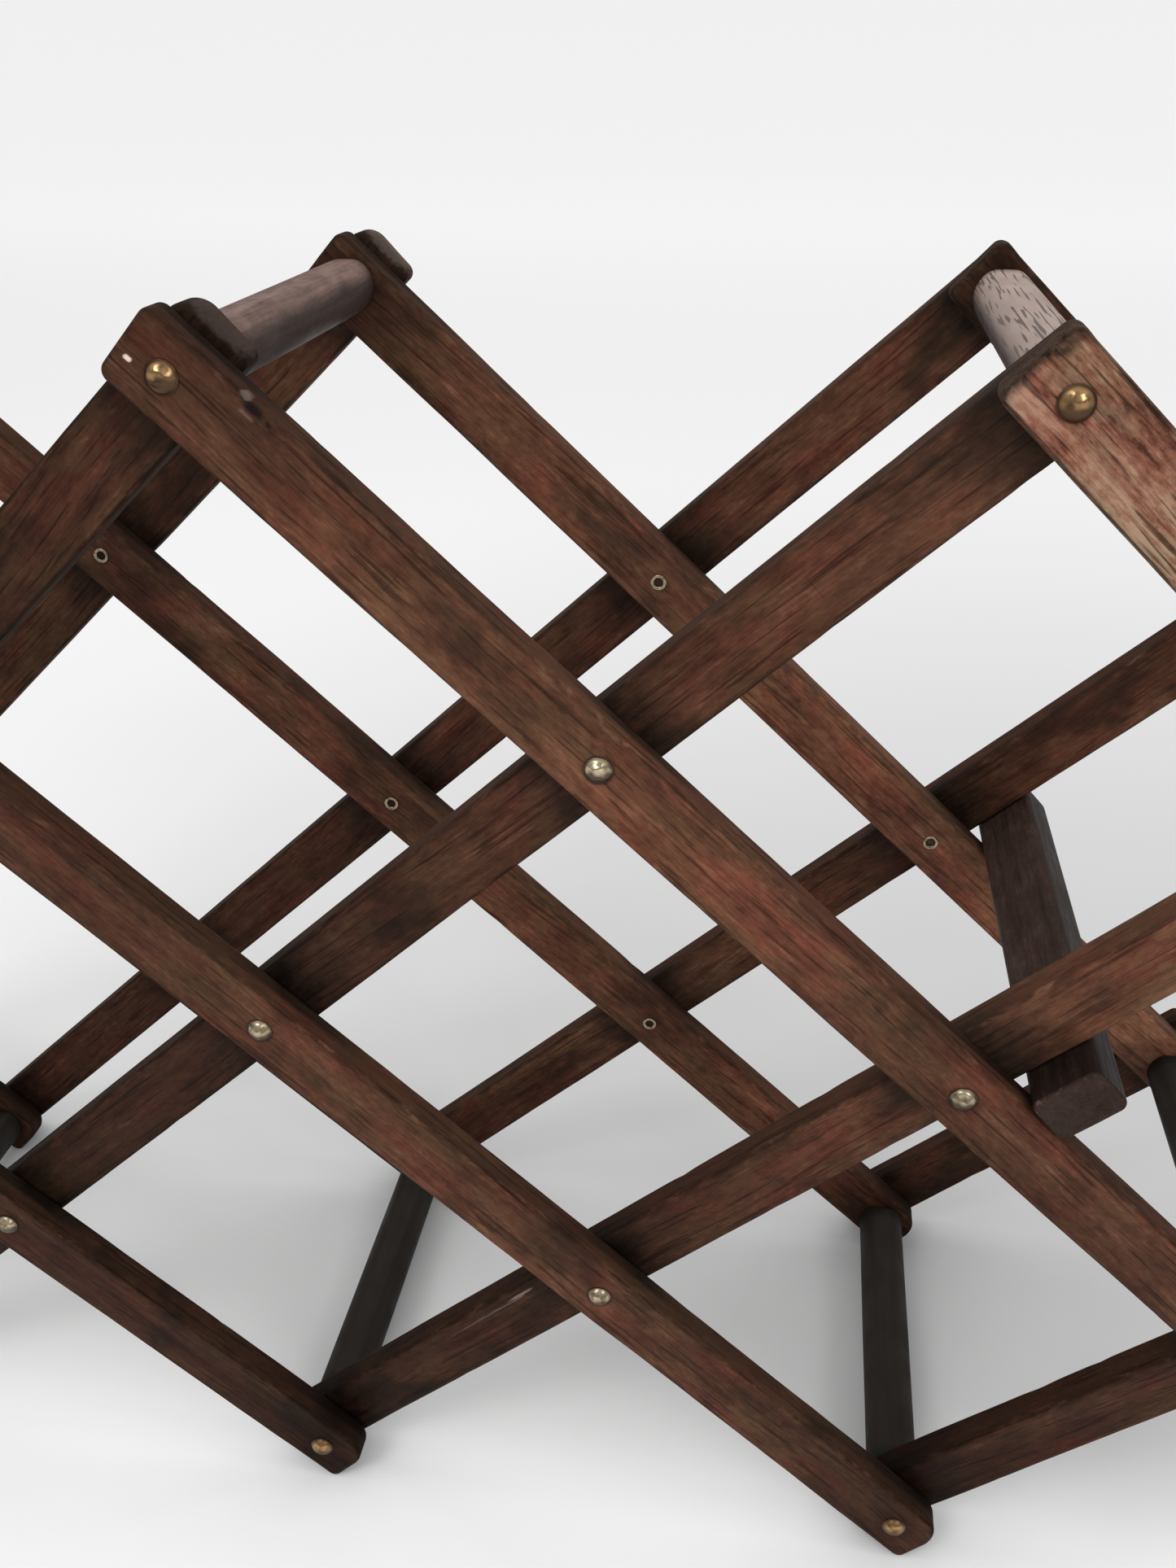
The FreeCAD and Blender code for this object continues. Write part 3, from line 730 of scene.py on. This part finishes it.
def stop_bar(side, kind, body):
    """One stop bar, with its end grain at both ends."""
    node = f"stop_bar_{side}"
    seed = seed_of(node)
    axes = local_axes(kind)
    low, high = cad_extent(node, axes)
    xs = graded(low[0], high[0], 0.5 * MM, 1.5 * MM, 4 * MM)
    ys = graded(low[1], high[1], 0.35 * MM, 2.5 * MM, 1.4 * MM)
    zs = graded(low[2], high[2], 0.5 * MM, 1.5 * MM, 4 * MM)
    grid, quads = box_grid(xs, ys, zs)
    arris = np.clip(0.75 + 0.25 * noise(grid, 0.006, seed), 0.4, 1.2) * MM
    local, _, inset = rounded_slab(grid, low, high, arris, [SLAT_CORNER] * 4)
    normals = soft_normals(local, low, high, 3 * MM)
    dip = 0.08 * (1 + noise(local, (0.008, 0.03, 0.008), seed + 2)) / 2
    local = local - normals * (dip * MM)[:, None]

    from_end = high[1] - np.abs(local[:, 1])
    end = fading(from_end, 1.0 * MM)
    wear = fading(np.maximum(inset, from_end), 1.5 * MM)
    beside = fading(high[0] - local[:, 0], 0.8 * MM) * (1 - end)
    in_shadow = fading(local[:, 1] - low[1], 40 * MM) ** 0.5 * (1 - end)
    shade = (1 - 0.2 * end - 0.4 * beside) * (1 - 0.6 * in_shadow)
    zeros = np.zeros(len(local))
    turned = (local - (low + high) / 2)[:, [1, 0, 2]]
    attributes = {
        "grain": grain_of(turned, node),
        "pin": np.full((len(local), 3), 1.0),
        "mask": np.stack([wear, 0.25 * (1 - end), 0.6 * end], axis=1),
        "mark": np.stack([shade, zeros, zeros], axis=1),
    }
    piece = mesh_piece(f"{node}_wood", local @ axes, quads, attributes, MATERIALS["stop_bar_wood"])
    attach(piece, body)
    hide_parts(node)


# ---------------------------------------------------------------- crossbars

# Crossbar: how far its top is fading and painted lighter, as if lit from above, and how far it has
# bleached.
CROSSBARS = {
    "top_left": (0.55, 0.0), "top_centre": (0.55, 0.0), "top_right": (1.0, 0.55),
    "foot_left": (0.0, 0.0), "foot_centre": (0.0, 0.0), "foot_right": (0.0, 0.0),
    "side_upper_left": (0.35, 0.0), "side_lower_left": (0.1, 0.0),
    "side_upper_right": (0.35, 0.0), "side_lower_right": (0.05, 0.0),
}


def tube_grid(ring_count, around):
    """Quads of a tube of rings, each with the same number of points around."""
    start = np.arange(ring_count - 1)[:, None] * around
    here = start + np.arange(around)
    following = start + (np.arange(around) + 1) % around
    return np.stack([here, following, following + around, here + around], axis=-1).reshape(-1, 4)


def flattened_circle(flat):
    """A crossbar's section in x and z: a circle planed at a height, with softened edges."""
    angles = np.arange(BAR_POINTS) / BAR_POINTS * 2 * math.pi
    section = np.stack([np.sin(angles), np.cos(angles)], axis=1) * BAR_RADIUS
    soften = 0.35 * MM
    height = flat - soften * np.logaddexp(0, (flat - section[:, 1]) / soften)
    lowest = height.min()
    section[:, 1] = (height - lowest) * (flat + BAR_RADIUS) / (height.max() - lowest) - BAR_RADIUS
    return section


def crossbar(place, fade_and_light, bleach):
    """One round crossbar with its planed flat, in wood fading and painted paler on top."""
    node = f"crossbar_{place}"
    seed = seed_of(node)
    low, high = (np.array(corner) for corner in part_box(node))
    centre_x = (low[0] + high[0]) / 2
    centre_z = low[2] + BAR_RADIUS
    section = flattened_circle(high[2] - centre_z)

    end_scale = [0.0, 0.55, 0.93]
    inner = graded(low[1], high[1], 0.4 * MM, 2.0 * MM, 1.2 * MM)
    ys = np.concatenate([[low[1]] * 3, inner, [high[1]] * 3])
    scale = np.concatenate([end_scale, np.ones(len(inner)), end_scale[::-1]])
    point_scale = np.repeat(scale, BAR_POINTS)
    flat_section = np.tile(section, (len(ys), 1)) * point_scale[:, None]
    local = np.stack([flat_section[:, 0], np.repeat(ys, BAR_POINTS), flat_section[:, 1]], axis=1)
    out = np.stack([local[:, 0], np.zeros(len(local)), local[:, 2]], axis=1)
    out /= np.maximum(np.linalg.norm(out, axis=1), 1e-9)[:, None]
    dip = 0.16 * (1 + noise(local, (0.006, 0.035, 0.006), seed)) / 2
    local -= out * (dip * point_scale * MM)[:, None]

    upward = np.clip(local[:, 2] / BAR_RADIUS, -1, 1)
    # Painted light as well as fading: paler where the bar faces up.
    faded_and_lit = np.clip((upward + 0.15) / 0.75, 0, 1) * fade_and_light
    from_end = np.minimum(local[:, 1] - low[1], high[1] - local[:, 1])
    # Dirt and painted shade: darker near the ends against the slats, on the underside, and all over on the
    # foot and lower side bars.
    grime_and_shade = 0.55 * fading(from_end, 5 * MM) + 0.3 * np.clip(-upward, 0, 1)
    if place.startswith(("foot", "side_lower")):
        grime_and_shade = grime_and_shade + 1.0
    zeros = np.zeros(len(local))
    attributes = {
        "grain": grain_of(local[:, [1, 0, 2]], node, slant=0.02),
        "mask": np.stack([zeros, grime_and_shade, zeros], axis=1),
        "mark": np.stack([faded_and_lit * bleach, faded_and_lit, zeros], axis=1),
    }
    points = local + np.array([centre_x, 0, centre_z])
    quads = tube_grid(len(ys), BAR_POINTS)
    piece = mesh_piece(f"{node}_wood", points, quads, attributes, MATERIALS["crossbar_wood"])
    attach(piece, f"bar_{place}")
    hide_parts(node)


# ---------------------------------------------------------------- brass

def turned_piece(profile, centre, way, seed, dent):
    """A profile of (radius, y) turned about Y at a centre, with dents in its head.

    y grows outwards from the middle of the rack, and way is -1 for a head at the front and 1 at
    the back. Also gives each point's spread, how dark the brass is painted: up to 1 where it is tarnished
    and where painted shade darkens a head's lower half and rim, and 2 inside a bore, painted dark.
    """
    radius, y = np.array(profile).T
    angles = np.arange(HEAD_POINTS) / HEAD_POINTS * 2 * math.pi
    ring_radius = np.repeat(radius, HEAD_POINTS)
    ring_y = np.repeat(y, HEAD_POINTS)
    turn = np.tile(angles, len(profile))
    points = np.stack([ring_radius * np.cos(turn), way * ring_y, ring_radius * np.sin(turn)], axis=1)
    quads = tube_grid(len(profile), HEAD_POINTS)
    if way < 0:
        quads = quads[:, ::-1]
    crown = y.max()
    on_head = np.clip((ring_y - (crown - HEAD_HEIGHT)) / (0.5 * MM), 0, 1)
    push = dent * on_head * (noise(points, 2.4 * MM, seed) + 0.3 * noise(points, 1.3 * MM, seed + 5)) * MM
    push *= np.clip((3.5 * MM - ring_radius) / (1.0 * MM), 0, 1)
    points[:, 1] -= way * np.abs(push)
    # Painted dark reflection of the wood round a head's rim.
    rim = np.clip((ring_radius - 2.4 * MM) / (1.2 * MM), 0, 1)
    # Painted shade: a head's lower half darker, as if reflecting darker surroundings.
    below = (1.9 * MM - points[:, 2]) / (2.6 * MM) + 0.40 * noise(points, 1.4 * MM, seed + 3)
    below = np.clip(below, 0, 1)
    behind_head = ring_y < crown - 5 * MM
    spread = np.where(behind_head, 0.5, np.maximum(rim, below))
    # Inside a bore: painted shade.
    spread = np.where(behind_head & (ring_radius < 1.5 * MM), 2.0, spread)
    return points + centre, quads, spread


def head_profile(face, head):
    """A domed head from its crown to its shank: radius and y. face is the wood's outer face."""
    sphere = (head ** 2 + HEAD_HEIGHT ** 2) / (2 * HEAD_HEIGHT)
    widest = math.asin(head / sphere)
    crown = [
        (sphere * math.sin(a), face + HEAD_HEIGHT - sphere * (1 - math.cos(a)))
        for a in np.linspace(CLOSED, widest * 0.97, 18)
    ]
    lip = [(head, face + 0.10 * MM), (head, face + 0.03 * MM), (head - 0.1 * MM, face)]
    return crown + lip + [(SHANK_RADIUS, face)]


def join(parts):
    """Several (points, quads, spread) as one."""
    points, quads, spreads, count = [], [], [], 0
    for part_points, part_quads, spread in parts:
        points.append(part_points)
        quads.append(part_quads + count)
        spreads.append(spread)
        count += len(part_points)
    return np.concatenate(points), np.concatenate(quads), np.concatenate(spreads)


def brass_piece(node, parts, body, slot):
    """One node's brass fastenings as one piece."""
    points, quads, spread = join(parts)
    seed = seed_of(node)
    zeros = np.zeros(len(points))
    attributes = {
        "grain": points + (seed % 101) * 0.013,
        "mask": np.stack([np.clip(spread, 0, 1), np.clip(spread - 1, 0, 1), zeros], axis=1),
    }
    piece = mesh_piece(f"{node}_brass", points, quads, attributes, MATERIALS[slot])
    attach(piece, body)
    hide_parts(node)


# How deep the dents in a pin's head are, in millimetres, where not the usual depth.
PIN_DENTS = {"top_centre": 0.40}
USUAL_PIN_DENT = 0.16
RIVET_DENT = 0.30


def pins(place):
    """The two domed pins of one crossbar."""
    low, high = (np.array(corner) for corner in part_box(f"pins_{place}"))
    centre = np.array([(low[0] + high[0]) / 2, 0, (low[2] + high[2]) / 2])
    seed = seed_of(place)
    shank = [
        (SHANK_RADIUS, PIN_TIP), (0.9 * MM, PIN_TIP - 0.6 * MM), (CLOSED * MM, PIN_TIP - 0.6 * MM),
    ]
    profile = head_profile(high[1] - HEAD_HEIGHT, PIN_HEAD_RADIUS) + shank
    dent = PIN_DENTS.get(place, USUAL_PIN_DENT)
    parts = [turned_piece(profile, centre, way, seed + way, dent) for way in (-1, 1)]
    brass_piece(f"pins_{place}", parts, f"bar_{place}", "pin_brass")


def rivets(side, kind, number):
    """The tubular rivets of one slat: domed heads outside, rolled ends inside."""
    node = f"{side}_rivets_{number}"
    own, first, last = CROSSINGS[number]
    way = -1 if side == "front" else 1
    low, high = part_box(node)
    face = max(abs(low.y), abs(high.y)) - HEAD_HEIGHT
    tip = min(abs(low.y), abs(high.y))
    tail = [
        (SHANK_RADIUS, tip + 0.5 * MM), (2.45 * MM, tip + 0.46 * MM), (ROLLED_RADIUS, tip + 0.30 * MM),
        (2.5 * MM, tip + 0.10 * MM), (2.25 * MM, tip), (1.9 * MM, tip + 0.02 * MM),
        (1.6 * MM, tip + 0.16 * MM), (1.35 * MM, tip + 0.45 * MM), (BORE_RADIUS, tip + 1.0 * MM),
        (BORE_RADIUS, tip + BORE_DEPTH), (CLOSED * MM, tip + BORE_DEPTH),
    ]
    profile = head_profile(face, RIVET_HEAD_RADIUS) + tail
    parts = []
    for crossing in range(first + 1, last):
        falling, rising = (own, crossing) if kind == "falling" else (crossing, own)
        centre = lattice_point(falling, rising)
        parts.append(turned_piece(profile, centre, way, seed_of(node) + crossing, RIVET_DENT))
    brass_piece(node, parts, f"{kind}_pair_{number}", "rivet_brass")


# ---------------------------------------------------------------- the rack

for number in CROSSINGS:
    for side in ("front", "back"):
        for kind in ("falling", "rising"):
            slat(side, kind, number)
for place, (fade_and_light, bleach) in CROSSBARS.items():
    crossbar(place, fade_and_light, bleach)
    pins(place)
for number in (2, 3, 4):
    rivets("front", "falling", number)
    rivets("back", "rising", number)
stop_bar("left", "falling", "falling_pair_2")
stop_bar("right", "rising", "rising_pair_4")
for side in ("left", "right"):
    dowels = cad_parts[f"stop_dowels_{side}"]
    for material_slot in dowels.material_slots:
        material_slot.material = MATERIALS["dowel_wood"]


# ---------------------------------------------------------------- floor, light and camera

# A soft shadow painted into the floor under the rack: its middle, and how far it reaches to the side,
# behind and in front.
SHADOW_MIDDLE = 0.33
SHADOW_TO_SIDE = 0.62
SHADOW_BEHIND = 0.82
SHADOW_IN_FRONT = 0.057


def floor():
    """A pale floor that rises slowly far behind, with a painted soft grey shadow under the rack."""
    line = [(-20.0, 0.0)] + [(4 + 56 * t, 6 * t ** 2) for t in np.linspace(0, 1, 25)]
    points = np.array([(x, y, z) for y, z in line for x in (-60.0, 60.0)])
    quads = np.array([(2 * i, 2 * i + 1, 2 * i + 3, 2 * i + 2) for i in range(len(line) - 1)])
    n = Nodes("pale_floor")
    x, y, _ = n.parts(n.add("ShaderNodeTexCoord").outputs["Object"])
    wide = n.math("POWER", n.math("DIVIDE", n.math("SUBTRACT", x, SHADOW_MIDDLE), SHADOW_TO_SIDE), 2.0)
    behind = n.math("DIVIDE", n.math("MAXIMUM", y, 0.0), SHADOW_BEHIND)
    in_front = n.math("DIVIDE", n.math("MAXIMUM", n.math("MULTIPLY", y, -1.0), 0.0), SHADOW_IN_FRONT)
    deep = n.math("POWER", n.math("ADD", behind, in_front), 2.0)
    away = n.math("SQRT", n.math("ADD", wide, deep))
    # Painted shadow: the floor greyer under the rack.
    painted_shadow = n.step(away, 0.1, 1.6, 1.0, 0.0)
    # Painted shade and light: the floor greyer just behind the rack, and paler far behind where the lamps
    # no longer reach.
    pale = n.mix(n.step(y, 0.0, 0.5), (0.945, 0.945, 0.945), (0.82, 0.82, 0.82))
    pale = n.mix(n.step(y, 0.9, 4.0), pale, (0.955, 0.955, 0.955))
    n.feed(n.shader.inputs["Base Color"], n.mix(painted_shadow, pale, (0.56, 0.56, 0.56)))
    n.shader.inputs["Roughness"].default_value = 0.7
    n.shader.inputs["Specular IOR Level"].default_value = 0.2
    mesh_piece("floor", points, quads, {}, n.material)


def area_light(name, at, towards, size, power):
    """A soft white rectangular light."""
    lamp = bpy.data.lights.new(name, "AREA")
    lamp.shape = "RECTANGLE"
    lamp.size, lamp.size_y = size
    lamp.energy = power
    light = bpy.data.objects.new(name, lamp)
    light.location = at
    aim = Vector(towards) - Vector(at)
    light.rotation_euler = aim.to_track_quat("-Z", "Y").to_euler()
    bpy.context.scene.collection.objects.link(light)


EYE = (0.13744, -0.3575, 0.43175)
VIEW_DIRECTION = (-0.13804, 0.86946, -0.47433)
VIEW_UP = (-0.06848, 0.46939, 0.88033)
FOCAL_LENGTH = 31.28     # millimetres, for a picture 36 mm high


def camera():
    """The camera, in front of the rack and above it, looking down and a little to the left."""
    data = bpy.data.cameras.new("camera")
    data.sensor_fit = "VERTICAL"
    data.sensor_height = 36.0
    data.lens = FOCAL_LENGTH
    data.clip_start = 0.01
    eye = bpy.data.objects.new("camera", data)
    forward = Vector(VIEW_DIRECTION)
    right = forward.cross(Vector(VIEW_UP)).normalized()
    up = right.cross(forward)
    eye.matrix_world = Matrix((
        (right.x, up.x, -forward.x, EYE[0]),
        (right.y, up.y, -forward.y, EYE[1]),
        (right.z, up.z, -forward.z, EYE[2]),
        (0, 0, 0, 1),
    ))
    bpy.context.scene.collection.objects.link(eye)
    bpy.context.scene.camera = eye


def studio_light(tree):
    """White light from all round, stronger from above and weaker from in front."""
    place = tree.nodes.new("ShaderNodeTexCoord")
    parts = tree.nodes.new("ShaderNodeSeparateXYZ")
    tree.links.new(place.outputs["Generated"], parts.inputs[0])
    shares = []
    for socket, low, high, dim, full in (("Z", 0.0, 0.8, 0.48, 1.14), ("Y", -0.9, 0.0, 0.62, 1.0)):
        share = tree.nodes.new("ShaderNodeMapRange")
        share.interpolation_type = "SMOOTHSTEP"
        tree.links.new(parts.outputs[socket], share.inputs["Value"])
        for label, limit in (("From Min", low), ("From Max", high), ("To Min", dim), ("To Max", full)):
            share.inputs[label].default_value = limit
        shares.append(share.outputs[0])
    product = tree.nodes.new("ShaderNodeMath")
    product.operation = "MULTIPLY"
    tree.links.new(shares[0], product.inputs[0])
    tree.links.new(shares[1], product.inputs[1])
    tree.links.new(product.outputs[0], tree.nodes["Background"].inputs[1])
    tree.nodes["Background"].inputs[0].default_value = (1, 1, 1, 1)


floor()
world = bpy.data.worlds.new("studio")
world.use_nodes = True
studio_light(world.node_tree)
bpy.context.scene.world = world
area_light("key", at=(-0.9, -1.6, 2.1), towards=(0, 0, 0.2), size=(0.9, 0.7), power=13)
area_light("fill", at=(1.2, -1.5, 1.4), towards=(0, 0, 0.2), size=(0.7, 0.6), power=7)
area_light("top", at=(0.1, 0.3, 2.4), towards=(0, 0, 0), size=(1.4, 1.4), power=6)
bpy.context.scene.view_settings.view_transform = "Standard"
camera()
